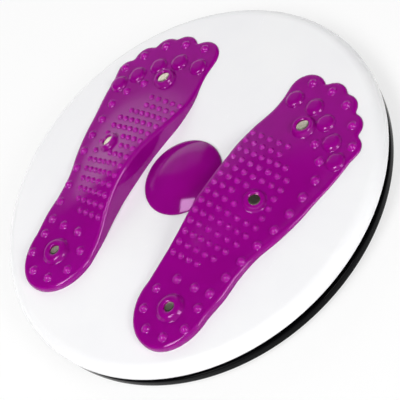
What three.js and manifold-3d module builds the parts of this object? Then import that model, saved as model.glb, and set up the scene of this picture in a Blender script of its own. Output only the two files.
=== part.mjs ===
// Waist twisting disc: a white turntable with two massage foot pads, which turns on a ball race
// over a black tray. Millimetres, +Z up, origin on the disc axis at the floor, +Y towards the toes.

import * as THREE from 'three';
import { mergeVertices } from 'three/addons/utils/BufferGeometryUtils.js';
import Module from 'manifold-3d';

const wasm = await Module();
wasm.setup();

// Clearances shared by all pieces
const seatGap = 0.3;
const cutOverrun = 1;
const roundSides = 48;
const smallSides = 12;
const hexagonSides = 6;

// Rubber feet
const rubberFootCount = 6;
const rubberFootRadius = 9;
const rubberFootProtrusion = 3;
const rubberFootSeatDepth = 1.2;
const rubberFootChamfer = 1;
const rubberFootInset = 20;

// Base tray
const trayInset = 1;
const trayFloorThickness = 2.5;
const trayBandHeight = 5.7;
const trayBandEdge = 1;
const collarInset = 2.6;
const collarWall = 2.5;
const collarHeight = 11;
const trayHubRadius = 14;
const trayHubHeight = 6.6;
const trayRibHeight = 3;
const ribThickness = 2;
const ribCount = 6;

// Ball race
const raceRadius = 50;
const raceWidth = 9;
const raceThickness = 1.8;
const raceLipWidth = 1.3;
const raceLipHeight = 1.2;
const ballRadius = 3;
const ballCount = 10;
const ballCentreHeight = 12.4;
const grooveDepth = 0.6;
const cageWidth = 11;
const cageThickness = 2.4;
const raceSides = 28;
const pocketSides = 8;
const ballSides = 8;
const ballBands = 5;

// Pivot
const boltRadius = 4;
const boltHeadRadius = 7.5;
const boltHeadHeight = 3.4;
const boltHeadRecess = 0.4;
const boltTipLength = 0.7;
const thrustWasherRadius = 12;
const thrustWasherThickness = 1;
const nutWasherRadius = 9;
const nutWasherThickness = 1.2;
const nutHeight = 4.5;

// Top shell
const discRadius = 125;
const rimBaseHeight = 13.5;
const rimLand = 1.6;
const shoulderWidth = 7.5;
const shoulderHeight = 6.3;
const crownRise = 0.7;
const shellWall = 2.5;
const shellHubFloor = 3;
const wellRadius = 14;
const shellRibDepth = 3.2;

// Centre cap
const capRadius = 25.5;
const capDomeRise = 5.4;
const capEdgeThickness = 0.7;
const capWall = 2;
const capSpigotWall = 1.5;
const capSpigotDepth = 4.6;
const capSides = 32;

// Foot pads, drawn as the right one, with the heel and ball centres on the foot's long axis
const padLength = 188;
const heelSurface = 25.8;
const toeSurface = 23;
const crestRise = 13;
const padEdgeRadius = 2.4;

// Nubs, domes, magnets and locating pegs of a foot pad
const fineNubRadius = 2.2;
const fineNubHeight = 1.3;
const mediumNubRadius = 2.4;
const mediumNubHeight = 1.5;
const toeDomeRadius = 5;
const toeDomeHeight = 2.2;
const heelRingRadius = 17.6;
const heelRingCount = 8;
const bossRadius = 6.7;
const heelBossRadius = 8;
const bossHeight = 2.7;
const magnetRadius = 3.7;
const magnetThickness = 2.2;
const magnetRecess = 0.6;
const nubFreeRadius = 9;
const pegRadius = 3;
const pegLength = 3.4;
const pegRoot = 0.6;
const pegSides = 8;
const nubRoot = 1;
const fineNubSides = 5;
const mediumNubSides = 6;
const toeDomeSides = 8;
const bossSides = 10;

// Heel centre out from the cap's edge, ball centre further out, and both along the foot, as shares
const padPlaceShares = { heelOut: 0.125, ballOut: 0.069, heelBack: 0.372, ballFront: 0.234 };
const heelReachShare = 0.154;

// Half widths of the sole on each side of its long axis, from heel to ball, as shares of padLength
const innerWidthShares = [0.137, 0.138, 0.133, 0.132, 0.139, 0.148, 0.164, 0.182, 0.189];
const outerWidthShares = [0.124, 0.129, 0.125, 0.132, 0.154, 0.169, 0.175, 0.183, 0.184];

// Inner side from the ball to the big toe: x and y from the ball centre, as shares of padLength
const bigToeSideShares = [[-0.182, 0.036], [-0.169, 0.085], [-0.164, 0.128]];

// Toes, big toe first: centre from the ball centre and radius, as shares of padLength
const toeShares = [
    [-0.101, 0.173, 0.064],
    [-0.008, 0.181, 0.053],
    [0.051, 0.157, 0.051],
    [0.106, 0.104, 0.051],
    [0.146, 0.040, 0.048],
];

// Places on the forefoot from the ball centre, as shares of padLength
const toeNubShares = [[-0.095, 0.204], [-0.012, 0.197], [0.062, 0.169], [0.123, 0.112], [0.165, 0.048]];
const toeDomeShares = [[-0.118, 0.134], [-0.035, 0.129], [0.035, 0.092], [0.095, 0.038], [0.144, -0.015]];
const forefootNubShares = [[0.045, 0.017], [0.094, -0.030]];
const ballMagnetShares = [-0.026, 0.054];
const archMagnetShares = [-0.007, -0.229];
const heelMagnetShares = [-0.068, -0.626];

// Fine nub rows from ball to heel: nubs in the row, then its two ends as shares of the sole's width
const fineRowShares = [
    [5, 0.057, 0.431],
    [5, 0.062, 0.419],
    [7, 0.070, 0.549],
    [7, 0.075, 0.637],
    [7, 0.078, 0.652],
    [7, 0.077, 0.658],
    [7, 0.080, 0.680],
    [7, 0.080, 0.697],
    [7, 0.086, 0.723],
    [7, 0.087, 0.712],
    [6, 0.100, 0.709],
    [6, 0.110, 0.670],
    [5, 0.110, 0.610],
    [4, 0.110, 0.470],
];
const firstFineRowShare = -0.024;
const fineRowPitchShare = 0.0346;

// Medium nubs along the outer edge, front to back: distance in from the edge as shares of the width
const edgeNubShares = [0.147, 0.130, 0.118, 0.109, 0.100, 0.090, 0.106, 0.155];
const firstEdgeNubShare = -0.091;
const edgeNubPitchShare = 0.0635;

// Locating pegs under the pad: ball, waist and heel, from the ball centre as shares of padLength
const pegShares = [[0.016, 0.096], [0.011, -0.282], [-0.069, -0.564]];

// The arch starts, tops out and ends along the foot at these shares of padLength from the ball, and
// across the foot it starts at this share of the sole's width from the outer side
const archRiseShares = { ballEnd: 0.125, front: -0.267, back: -0.301, heelEnd: -0.582 };
const archOuterShare = 0.08;
const edgeRoundShare = 0.6;
const mediumNubTopShare = 0.6;
const domeShoulderShares = { radius: 0.72, height: 0.72 };
const bossShoulderShare = 0.5;
const surfaceBlendShares = { front: -0.021, back: -0.527 };

// Sizes that follow from the ones above
const trayRadius = discRadius - trayInset;
const collarRadius = trayRadius - collarInset;
const rubberFootCircleRadius = trayRadius - rubberFootInset;
const heelCentreX = capRadius + padPlaceShares.heelOut * padLength;
const heelCentreY = -padPlaceShares.heelBack * padLength;
const heelReach = heelReachShare * padLength;
const ballCentreX = heelCentreX + padPlaceShares.ballOut * padLength;
const ballCentreY = padPlaceShares.ballFront * padLength;
const trayBottom = rubberFootProtrusion;
const trayFloorTop = trayBottom + trayFloorThickness;
const trayHubTop = trayBottom + trayHubHeight;
const lowerRaceTop = ballCentreHeight - ballRadius - seatGap + grooveDepth;
const lowerRaceBottom = lowerRaceTop - raceThickness;
const lowerSeat = lowerRaceBottom - seatGap;
const upperRaceBottom = ballCentreHeight + ballRadius + seatGap - grooveDepth;
const upperRaceTop = upperRaceBottom + raceThickness;
const upperSeat = upperRaceTop + seatGap;
const raceInner = raceRadius - raceWidth / 2;
const raceOuter = raceRadius + raceWidth / 2;
const seatInner = raceInner - seatGap - raceLipWidth;
const seatOuter = raceOuter + seatGap + raceLipWidth;
const thrustWasherBottom = trayHubTop + seatGap;
const hubFloorBottom = thrustWasherBottom + thrustWasherThickness + seatGap;
const hubFloorTop = hubFloorBottom + shellHubFloor;
const nutWasherBottom = hubFloorTop + seatGap;
const nutBottom = nutWasherBottom + nutWasherThickness + seatGap;
const boltTop = nutBottom + nutHeight + boltTipLength;
const boreRadius = boltRadius + seatGap;
const boltHeadBottom = trayBottom + boltHeadRecess;
const shoulderRadius = discRadius - shoulderWidth;
const shoulderBase = rimBaseHeight + rimLand;
const shoulderTop = shoulderBase + shoulderHeight;
const crownHeight = shoulderTop + crownRise;

function shellTopHeight(radius) {
    return crownHeight - crownRise * (radius / shoulderRadius) ** 2;
}

// Helpers for closed meshes

function welded(geometry) {
    const bare = new THREE.BufferGeometry();
    bare.setAttribute('position', geometry.getAttribute('position'));
    bare.setIndex(geometry.getIndex());
    const merged = mergeVertices(bare);
    const corners = merged.getIndex().array;
    const kept = [];
    for (let i = 0; i < corners.length; i += 3) {
        const [a, b, c] = corners.slice(i, i + 3);
        if (a !== b && b !== c && c !== a) kept.push(a, b, c);
    }
    merged.setIndex(kept);
    return merged;
}

function toManifold(geometry) {
    const closed = welded(geometry);
    const vertProperties = Float32Array.from(closed.getAttribute('position').array);
    const triVerts = Uint32Array.from(closed.getIndex().array);
    return new wasm.Manifold(new wasm.Mesh({ numProp: 3, vertProperties, triVerts }));
}

function toGeometry(manifold) {
    const mesh = manifold.getMesh();
    const geometry = new THREE.BufferGeometry();
    geometry.setAttribute('position', new THREE.BufferAttribute(mesh.vertProperties, 3));
    geometry.setIndex(Array.from(mesh.triVerts));
    return geometry;
}

function joined(first, others) {
    return others.reduce((whole, piece) => whole.add(toManifold(piece)), first);
}

function cut(first, tools) {
    return tools.reduce((whole, tool) => whole.subtract(toManifold(tool)), first);
}

// A profile of [radius, height] points turned about the disc axis
function revolved(profile, sides, closes = true) {
    const points = profile.map(([radius, height]) => new THREE.Vector2(radius, height));
    if (THREE.ShapeUtils.isClockWise(points)) points.reverse();
    if (closes) points.push(points[0].clone());
    return welded(new THREE.LatheGeometry(points, sides)).rotateX(Math.PI / 2);
}

function disc(radius, bottom, top, sides, innerRadius = 0) {
    const outside = [[radius, bottom], [radius, top]];
    if (innerRadius > 0) {
        return revolved([[innerRadius, bottom], ...outside, [innerRadius, top]], sides);
    }
    return revolved([[0, bottom], ...outside, [0, top]], sides, false);
}

function movedTo(geometry, x, y, z = 0) {
    return geometry.clone().translate(x, y, z);
}

function onCircle(radius, count, make, firstAngle = 0) {
    return Array.from({ length: count }, (_, i) => {
        const angle = firstAngle + (i * 2 * Math.PI) / count;
        return make(radius * Math.cos(angle), radius * Math.sin(angle), angle);
    });
}

function radialRibs(fromRadius, toRadius, bottom, top) {
    const length = toRadius - fromRadius;
    const middle = fromRadius + length / 2;
    const height = top - bottom;
    return onCircle(middle, ribCount, (x, y, angle) => {
        const rib = new THREE.BoxGeometry(length, ribThickness, height);
        return rib.rotateZ(angle).translate(x, y, bottom + height / 2);
    }, Math.PI / ribCount);
}

function smoothStep(t) {
    const clamped = THREE.MathUtils.clamp(t, 0, 1);
    return clamped * clamped * (3 - 2 * clamped);
}

// Materials
const plastic = (color, roughness) => new THREE.MeshStandardMaterial({ color, roughness, metalness: 0 });
const metal = (color, roughness) => new THREE.MeshStandardMaterial({ color, roughness, metalness: 1 });
const materials = {
    shellWhite: plastic(0xf4f4f6, 0.2),
    padMagenta: plastic(0x8f0a82, 0.3),
    capMagenta: plastic(0x8c0f7d, 0.15),
    trayBlack: plastic(0x141315, 0.25),
    footRubber: plastic(0x2a2a2c, 0.85),
    cageAcetal: plastic(0xd9d6cc, 0.5),
    raceSteel: metal(0x9a9a98, 0.35),
    ballSteel: metal(0xc6c6c8, 0.12),
    boltZinc: metal(0xb2afa4, 0.4),
    washerNylon: plastic(0xe6e3da, 0.5),
    magnetNickel: metal(0xc2bda6, 0.25),
};

const model = new THREE.Group();

function add(name, geometry, material) {
    const mesh = new THREE.Mesh(geometry, material);
    mesh.name = name;
    model.add(mesh);
    return mesh;
}

// Base tray

function baseTray() {
    const bandTop = trayBottom + trayBandHeight;
    const collarTop = trayBottom + collarHeight;
    const collarInner = collarRadius - collarWall;
    const lipTop = lowerSeat + raceLipHeight;
    const tray = toManifold(revolved([
        [boreRadius, trayBottom],
        [trayRadius - trayBandEdge, trayBottom],
        [trayRadius, trayBottom + trayBandEdge],
        [trayRadius, bandTop - trayBandEdge],
        [trayRadius - trayBandEdge, bandTop],
        [collarRadius, bandTop],
        [collarRadius, collarTop],
        [collarInner, collarTop],
        [collarInner, trayFloorTop],
        [seatOuter, trayFloorTop],
        [seatOuter, lipTop],
        [seatOuter - raceLipWidth, lipTop],
        [seatOuter - raceLipWidth, lowerSeat],
        [seatInner + raceLipWidth, lowerSeat],
        [seatInner + raceLipWidth, lipTop],
        [seatInner, lipTop],
        [seatInner, trayFloorTop],
        [trayHubRadius, trayFloorTop],
        [trayHubRadius, trayHubTop],
        [boreRadius, trayHubTop],
    ], roundSides));
    const ribBottom = trayFloorTop - trayFloorThickness / 2;
    const ribTop = trayFloorTop + trayRibHeight;
    const ribbed = joined(tray, [
        ...radialRibs(trayHubRadius - ribThickness, seatInner + raceLipWidth / 2, ribBottom, ribTop),
        ...radialRibs(seatOuter - raceLipWidth / 2, collarInner + collarWall / 2, ribBottom, ribTop),
    ]);
    const recess = disc(
        rubberFootRadius + seatGap,
        trayBottom - cutOverrun,
        trayBottom + rubberFootSeatDepth,
        smallSides,
    );
    const headPocket = disc(
        boltHeadRadius + cutOverrun,
        trayBottom - cutOverrun,
        boltHeadBottom + boltHeadHeight + seatGap,
        smallSides,
    );
    const recesses = onCircle(rubberFootCircleRadius, rubberFootCount, (x, y) => movedTo(recess, x, y));
    return toGeometry(cut(ribbed, [...recesses, headPocket]));
}

function rubberFoot() {
    const top = trayBottom + rubberFootSeatDepth - seatGap;
    return revolved([
        [0, 0],
        [rubberFootRadius - rubberFootChamfer, 0],
        [rubberFootRadius, rubberFootChamfer],
        [rubberFootRadius, top],
        [0, top],
    ], smallSides, false);
}

// Ball race: two grooved steel rings, the balls between them and the cage that spaces the balls

function raceProfile(faceHeight, grooveHeight, backHeight) {
    const grooveHalfWidth = ballRadius * Math.sin(Math.acos(1 - grooveDepth / ballRadius));
    return [
        [raceInner, faceHeight],
        [raceRadius - grooveHalfWidth, faceHeight],
        [raceRadius - grooveHalfWidth / 2, grooveHeight + (faceHeight - grooveHeight) / 4],
        [raceRadius + grooveHalfWidth / 2, grooveHeight + (faceHeight - grooveHeight) / 4],
        [raceRadius + grooveHalfWidth, faceHeight],
        [raceOuter, faceHeight],
        [raceOuter, backHeight],
        [raceInner, backHeight],
    ];
}

function cageRing() {
    const ring = new THREE.Shape();
    ring.absarc(0, 0, raceRadius + cageWidth / 2, 0, 2 * Math.PI);
    const bore = new THREE.Path();
    bore.absarc(0, 0, raceRadius - cageWidth / 2, 0, 2 * Math.PI, true);
    ring.holes.push(bore);
    const blank = toManifold(new THREE.ExtrudeGeometry(ring, {
        depth: cageThickness,
        bevelEnabled: false,
        curveSegments: raceSides / 2,
    }).translate(0, 0, ballCentreHeight - cageThickness / 2));
    const pocketTop = ballCentreHeight + cageThickness / 2 + cutOverrun;
    const pocketBottom = ballCentreHeight - cageThickness / 2 - cutOverrun;
    const pocketRadius = (ballRadius + seatGap) / Math.cos(Math.PI / pocketSides);
    const pocket = disc(pocketRadius, pocketBottom, pocketTop, pocketSides);
    return toGeometry(cut(blank, onCircle(raceRadius, ballCount, (x, y) => movedTo(pocket, x, y))));
}

// Pivot: hexagon bolt from below, thrust washer between the hubs, washer and nut in the shell's well

function hexagon(radius, bottom, top) {
    return disc(radius, bottom, top, hexagonSides);
}

function pivotBolt() {
    const headTop = boltHeadBottom + boltHeadHeight;
    const shank = toManifold(disc(boltRadius, headTop - boltHeadHeight / 2, boltTop, smallSides));
    return toGeometry(joined(shank, [hexagon(boltHeadRadius, boltHeadBottom, headTop)]));
}

function pivotNut() {
    const nutTop = nutBottom + nutHeight;
    const blank = toManifold(hexagon(boltHeadRadius, nutBottom, nutTop));
    const bore = disc(boreRadius, nutBottom - cutOverrun, nutTop + cutOverrun, smallSides);
    return toGeometry(cut(blank, [bore]));
}

// Top shell: domed skin with a rolled rim, a central well, the upper race seat and radial ribs

function topShell() {
    const wellOuter = wellRadius + shellWall;
    const underside = (radius) => shellTopHeight(radius) - shellWall;
    const innerShoulderWidth = shoulderWidth - shellWall;
    const innerShoulderHeight = shoulderHeight - shellWall;
    const lipBottom = upperSeat - raceLipHeight;
    const profile = [
        [boreRadius, hubFloorBottom],
        [wellOuter, hubFloorBottom],
        [wellOuter, underside(wellOuter)],
        [seatInner, underside(seatInner)],
        [seatInner, lipBottom],
        [seatInner + raceLipWidth, lipBottom],
        [seatInner + raceLipWidth, upperSeat],
        [seatOuter - raceLipWidth, upperSeat],
        [seatOuter - raceLipWidth, lipBottom],
        [seatOuter, lipBottom],
        [seatOuter, underside(seatOuter)],
        [shoulderRadius, underside(shoulderRadius)],
    ];
    const innerSteps = 2;
    for (let i = 1; i < innerSteps; i += 1) {
        const turn = ((1 - i / innerSteps) * Math.PI) / 2;
        profile.push([
            shoulderRadius + innerShoulderWidth * Math.cos(turn),
            shoulderBase + innerShoulderHeight * Math.sin(turn),
        ]);
    }
    profile.push([discRadius - shellWall, shoulderBase]);
    profile.push([discRadius - shellWall, rimBaseHeight]);
    profile.push([discRadius, rimBaseHeight]);
    const outerSteps = 4;
    for (let i = 0; i <= outerSteps; i += 1) {
        const turn = ((i / outerSteps) * Math.PI) / 2;
        profile.push([
            shoulderRadius + shoulderWidth * Math.cos(turn),
            shoulderBase + shoulderHeight * Math.sin(turn),
        ]);
    }
    const domeSteps = 2;
    for (let i = 1; i <= domeSteps; i += 1) {
        const radius = shoulderRadius + ((wellRadius - shoulderRadius) * i) / domeSteps;
        profile.push([radius, shellTopHeight(radius)]);
    }
    profile.push([wellRadius, hubFloorTop]);
    profile.push([boreRadius, hubFloorTop]);

    const skin = toManifold(revolved(profile, roundSides));
    const ribTop = underside(shoulderRadius) + shellWall / 2;
    const ribBottom = underside(shoulderRadius) - shellRibDepth;
    const ribbed = joined(skin, [
        ...radialRibs(wellRadius + shellWall / 2, seatInner + raceLipWidth / 2, ribBottom, ribTop),
        ...radialRibs(seatOuter - raceLipWidth / 2, shoulderRadius, ribBottom, ribTop),
    ]);
    const hole = disc(pegRadius + seatGap, crownHeight - shellWall * 2, crownHeight + cutOverrun, pegSides);
    const holes = [1, -1].flatMap((side) => pegShares.map(([shareX, shareY]) => {
        const place = forefootPlace(shareX, shareY);
        return movedTo(hole, side * place.x, place.y);
    }));
    return toGeometry(cut(ribbed, holes));
}

// Centre cap: thin dome with a spigot that plugs into the well

function centreCap() {
    const base = crownHeight + seatGap;
    const domeRadius = (capRadius ** 2 + capDomeRise ** 2) / (2 * capDomeRise);
    const domeHeight = (radius) => Math.sqrt(domeRadius ** 2 - radius ** 2) - domeRadius + capDomeRise;
    const spigotOuter = wellRadius - seatGap;
    const spigotInner = spigotOuter - capSpigotWall;
    const spigotBottom = base - capSpigotDepth;
    const outside = [];
    const domeSteps = 5;
    for (let i = 0; i < domeSteps; i += 1) {
        const radius = capRadius * (1 - i / domeSteps);
        outside.push([radius, base + capEdgeThickness + domeHeight(radius)]);
    }
    return revolved([
        [0, base + capEdgeThickness + capDomeRise - capWall],
        [spigotInner, base + capEdgeThickness + domeHeight(spigotInner) - capWall],
        [spigotInner, spigotBottom],
        [spigotOuter, spigotBottom],
        [spigotOuter, base],
        [capRadius, base],
        ...outside,
        [0, base + capEdgeThickness + capDomeRise],
    ], capSides, false);
}

// Foot pads

const ballCentre = new THREE.Vector2(ballCentreX, ballCentreY);
const heelCentre = new THREE.Vector2(heelCentreX, heelCentreY);

function forefootPlace(shareX, shareY) {
    return new THREE.Vector2(ballCentreX + shareX * padLength, ballCentreY + shareY * padLength);
}

// Catmull-Rom value at t from 0 to 1 through evenly spaced shares
function alongShares(shares, t) {
    const spans = shares.length - 1;
    const place = THREE.MathUtils.clamp(t, 0, 1) * spans;
    const i = Math.min(Math.floor(place), spans - 1);
    const u = place - i;
    const at = (k) => shares[THREE.MathUtils.clamp(k, 0, spans)];
    const [a, b, c, d] = [at(i - 1), at(i), at(i + 1), at(i + 2)];
    const slope = (c - a + (2 * a - 5 * b + 4 * c - d + (3 * (b - c) + d - a) * u) * u) / 2;
    return b + slope * u;
}

function soleAt(y) {
    const t = THREE.MathUtils.clamp((y - heelCentreY) / (ballCentreY - heelCentreY), 0, 1);
    const axisX = THREE.MathUtils.lerp(heelCentreX, ballCentreX, t);
    return {
        axisX,
        innerX: axisX - padLength * alongShares(innerWidthShares, t),
        outerX: axisX + padLength * alongShares(outerWidthShares, t),
    };
}

// Height of the pad's upper face: toe level runs into heel level, and the arch rises to its crest
// along the inner side and fades out towards the outer side
function padTop(x, y) {
    const fromBall = (y - ballCentreY) / padLength;
    const blend = surfaceBlendShares;
    const towardsHeel = smoothStep((fromBall - blend.front) / (blend.back - blend.front));
    const level = THREE.MathUtils.lerp(toeSurface, heelSurface, towardsHeel);
    const arch = archRiseShares;
    const front = smoothStep((arch.ballEnd - fromBall) / (arch.ballEnd - arch.front));
    const back = smoothStep((fromBall - arch.heelEnd) / (arch.back - arch.heelEnd));
    const sole = soleAt(y);
    const fromOuter = (sole.outerX - x) / (sole.outerX - sole.innerX);
    const across = smoothStep((fromOuter - archOuterShare) / (1 - archOuterShare));
    return level + crestRise * front * back * across;
}

function padBottom(x, y) {
    return shellTopHeight(Math.hypot(x, y)) + seatGap;
}

function padNormal(x, y) {
    const step = fineNubRadius;
    const slopeX = (padTop(x + step, y) - padTop(x - step, y)) / (2 * step);
    const slopeY = (padTop(x, y + step) - padTop(x, y - step)) / (2 * step);
    return new THREE.Vector3(-slopeX, -slopeY, 1).normalize();
}

// Outer crossing of two neighbouring toe circles
function toeNotch(first, second) {
    const between = second.centre.clone().sub(first.centre);
    const distance = between.length();
    const along = (distance ** 2 + first.radius ** 2 - second.radius ** 2) / (2 * distance);
    const out = Math.sqrt(first.radius ** 2 - along ** 2);
    const unit = between.normalize();
    const side = new THREE.Vector2(-unit.y, unit.x);
    return first.centre.clone().addScaledVector(unit, along).addScaledVector(side, out);
}

// The outline runs from the heel up the inner side, round the toes and down the outer side. Each
// point is paired with the point of the foot's axis that it faces.
function padOutline() {
    const loop = [];
    const stations = 12;
    const stationAt = (i) => THREE.MathUtils.lerp(heelCentreY, ballCentreY, i / stations);
    const facing = (i) => new THREE.Vector2(soleAt(stationAt(i)).axisX, stationAt(i));
    for (let i = 0; i <= stations; i += 1) {
        loop.push({ edge: new THREE.Vector2(soleAt(stationAt(i)).innerX, stationAt(i)), axis: facing(i) });
    }
    for (const [shareX, shareY] of bigToeSideShares) {
        loop.push({ edge: forefootPlace(shareX, shareY), axis: ballCentre });
    }
    const toes = toeShares.map(([shareX, shareY, shareRadius]) => ({
        centre: forefootPlace(shareX, shareY),
        radius: shareRadius * padLength,
    }));
    const toeSteps = 4;
    toes.forEach((toe, k) => {
        const angleOf = (point) => Math.atan2(point.y - toe.centre.y, point.x - toe.centre.x);
        const isLast = k === toes.length - 1;
        const start = k === 0 ? Math.PI : angleOf(toeNotch(toes[k - 1], toe));
        const end = isLast ? 0 : angleOf(toeNotch(toe, toes[k + 1]));
        const steps = isLast ? toeSteps + 1 : toeSteps;
        for (let i = 0; i < steps; i += 1) {
            const angle = THREE.MathUtils.lerp(start, end, i / toeSteps);
            const edge = new THREE.Vector2(Math.cos(angle), Math.sin(angle));
            edge.multiplyScalar(toe.radius).add(toe.centre);
            loop.push({ edge, axis: ballCentre });
        }
    });
    for (let i = stations; i >= 0; i -= 1) {
        loop.push({ edge: new THREE.Vector2(soleAt(stationAt(i)).outerX, stationAt(i)), axis: facing(i) });
    }
    const heelSteps = 9;
    const sole = soleAt(heelCentreY);
    for (let i = 1; i < heelSteps; i += 1) {
        const angle = (i * Math.PI) / heelSteps;
        const reach = Math.cos(angle) > 0 ? sole.outerX - heelCentreX : heelCentreX - sole.innerX;
        const edge = new THREE.Vector2(
            heelCentreX + reach * Math.cos(angle),
            heelCentreY - heelReach * Math.sin(angle),
        );
        loop.push({ edge, axis: heelCentre });
    }
    return loop;
}

// The pad is lofted between the outline and the foot's axis: underside, wall, rounded edge, top
function padBody() {
    const loop = padOutline();
    const edgeSteps = 2;
    const faceSteps = 3;
    const columns = loop.map(({ edge, axis }) => {
        const wall = padTop(edge.x, edge.y) - padBottom(edge.x, edge.y);
        const radius = Math.min(padEdgeRadius, wall * edgeRoundShare);
        const inward = axis.clone().sub(edge).normalize();
        const column = [
            new THREE.Vector3(axis.x, axis.y, padBottom(axis.x, axis.y)),
            new THREE.Vector3(edge.x, edge.y, padBottom(edge.x, edge.y)),
        ];
        for (let i = 0; i <= edgeSteps; i += 1) {
            const turn = ((i / edgeSteps) * Math.PI) / 2;
            const place = edge.clone().addScaledVector(inward, radius * (1 - Math.cos(turn)));
            const height = padTop(place.x, place.y) - radius * (1 - Math.sin(turn));
            column.push(new THREE.Vector3(place.x, place.y, height));
        }
        const rounded = edge.clone().addScaledVector(inward, radius);
        for (let i = 1; i <= faceSteps; i += 1) {
            const place = rounded.clone().lerp(axis, i / faceSteps);
            column.push(new THREE.Vector3(place.x, place.y, padTop(place.x, place.y)));
        }
        return column;
    });
    const rows = columns[0].length;
    const indices = [];
    columns.forEach((_, i) => {
        const next = (i + 1) % columns.length;
        for (let row = 0; row < rows - 1; row += 1) {
            const here = i * rows + row;
            const beside = next * rows + row;
            indices.push(here, here + 1, beside, beside, here + 1, beside + 1);
        }
    });
    const geometry = new THREE.BufferGeometry().setFromPoints(columns.flat());
    geometry.setIndex(indices);
    return geometry;
}

// A small piece made along +Z is stood on the pad's upper face, along its normal
function onPad(geometry, x, y) {
    const turn = new THREE.Quaternion().setFromUnitVectors(new THREE.Vector3(0, 0, 1), padNormal(x, y));
    return geometry.clone().applyQuaternion(turn).translate(x, y, padTop(x, y));
}

function fineNub() {
    return revolved([
        [0, -nubRoot],
        [fineNubRadius, -nubRoot],
        [0, fineNubHeight],
    ], fineNubSides, false);
}

function mediumNub() {
    return revolved([
        [0, -nubRoot],
        [mediumNubRadius, -nubRoot],
        [mediumNubRadius * mediumNubTopShare, mediumNubHeight],
        [0, mediumNubHeight],
    ], mediumNubSides, false);
}

function toeDome() {
    return revolved([
        [0, -nubRoot],
        [toeDomeRadius, -nubRoot],
        [toeDomeRadius * domeShoulderShares.radius, toeDomeHeight * domeShoulderShares.height],
        [0, toeDomeHeight],
    ], toeDomeSides, false);
}

function boss(radius) {
    const socketEdge = magnetRadius + seatGap;
    return revolved([
        [0, -nubRoot],
        [radius, -nubRoot],
        [radius, bossHeight * bossShoulderShare],
        [socketEdge + (radius - socketEdge) * bossShoulderShare, bossHeight],
        [0, bossHeight],
    ], bossSides, false);
}

function fineNubPlaces() {
    const arch = forefootPlace(...archMagnetShares);
    const places = fineRowShares.flatMap(([count, first, last], row) => {
        const y = ballCentreY + padLength * (firstFineRowShare - row * fineRowPitchShare);
        const sole = soleAt(y);
        return Array.from({ length: count }, (_, i) => {
            const share = THREE.MathUtils.lerp(first, last, i / (count - 1));
            return new THREE.Vector2(THREE.MathUtils.lerp(sole.innerX, sole.outerX, share), y);
        });
    });
    return places.filter((place) => place.distanceTo(arch) > nubFreeRadius);
}

function mediumNubPlaces() {
    const edge = edgeNubShares.map((share, i) => {
        const y = ballCentreY + padLength * (firstEdgeNubShare - i * edgeNubPitchShare);
        const sole = soleAt(y);
        return new THREE.Vector2(sole.outerX - share * (sole.outerX - sole.innerX), y);
    });
    const heel = forefootPlace(...heelMagnetShares);
    const ring = onCircle(heelRingRadius, heelRingCount, (x, y) => {
        return new THREE.Vector2(heel.x + x, heel.y + y);
    }, Math.PI / heelRingCount);
    const forefoot = [...toeNubShares, ...forefootNubShares].map((shares) => forefootPlace(...shares));
    return [...edge, ...ring, ...forefoot];
}

const padMagnets = {
    ball: { place: forefootPlace(...ballMagnetShares), boss: bossRadius },
    arch: { place: forefootPlace(...archMagnetShares), boss: bossRadius },
    heel: { place: forefootPlace(...heelMagnetShares), boss: heelBossRadius },
};

const magnetTop = bossHeight - magnetRecess;
const magnetBottom = magnetTop - magnetThickness;

function footPad() {
    const body = toManifold(padBody());
    const fine = fineNub();
    const medium = mediumNub();
    const dome = toeDome();
    const peg = disc(pegRadius, -pegLength, pegRoot, pegSides);
    const raised = joined(body, [
        ...fineNubPlaces().map(({ x, y }) => onPad(fine, x, y)),
        ...mediumNubPlaces().map(({ x, y }) => onPad(medium, x, y)),
        ...toeDomeShares.map((shares) => forefootPlace(...shares)).map(({ x, y }) => onPad(dome, x, y)),
        ...Object.values(padMagnets).map(({ place, boss: radius }) => {
            return onPad(boss(radius), place.x, place.y);
        }),
        ...pegShares.map((shares) => forefootPlace(...shares)).map(({ x, y }) => {
            return movedTo(peg, x, y, padBottom(x, y));
        }),
    ]);
    const socketBottom = magnetBottom - seatGap;
    const socket = disc(magnetRadius + seatGap, socketBottom, bossHeight + cutOverrun, bossSides);
    const sockets = Object.values(padMagnets).map(({ place }) => onPad(socket, place.x, place.y));
    return toGeometry(cut(raised, sockets));
}

// The left foot's copy of a right-foot piece
function mirrored(geometry) {
    const copy = geometry.clone().scale(-1, 1, 1);
    copy.setIndex(Array.from(copy.getIndex().array).reverse());
    return copy;
}

// Assembly

add('base_tray', baseTray(), materials.trayBlack);
const footShape = rubberFoot();
onCircle(rubberFootCircleRadius, rubberFootCount, (x, y) => [x, y]).forEach(([x, y], i) => {
    add(`rubber_foot_${i + 1}`, footShape, materials.footRubber).position.set(x, y, 0);
});

add('lower_race', revolved(
    raceProfile(lowerRaceTop, lowerRaceTop - grooveDepth, lowerRaceBottom),
    raceSides,
), materials.raceSteel);
add('upper_race', revolved(
    raceProfile(upperRaceBottom, upperRaceBottom + grooveDepth, upperRaceTop),
    raceSides,
), materials.raceSteel);
add('cage_ring', cageRing(), materials.cageAcetal);
const ballShape = welded(new THREE.SphereGeometry(ballRadius, ballSides, ballBands)).rotateX(Math.PI / 2);
onCircle(raceRadius, ballCount, (x, y) => [x, y]).forEach(([x, y], i) => {
    const name = `steel_ball_${String(i + 1).padStart(2, '0')}`;
    add(name, ballShape, materials.ballSteel).position.set(x, y, ballCentreHeight);
});

add('pivot_bolt', pivotBolt(), materials.boltZinc);
add('thrust_washer', disc(
    thrustWasherRadius,
    thrustWasherBottom,
    thrustWasherBottom + thrustWasherThickness,
    smallSides,
    boreRadius,
), materials.washerNylon);
add('nut_washer', disc(
    nutWasherRadius,
    nutWasherBottom,
    nutWasherBottom + nutWasherThickness,
    smallSides,
    boreRadius,
), materials.boltZinc);
add('pivot_nut', pivotNut(), materials.boltZinc);

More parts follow.
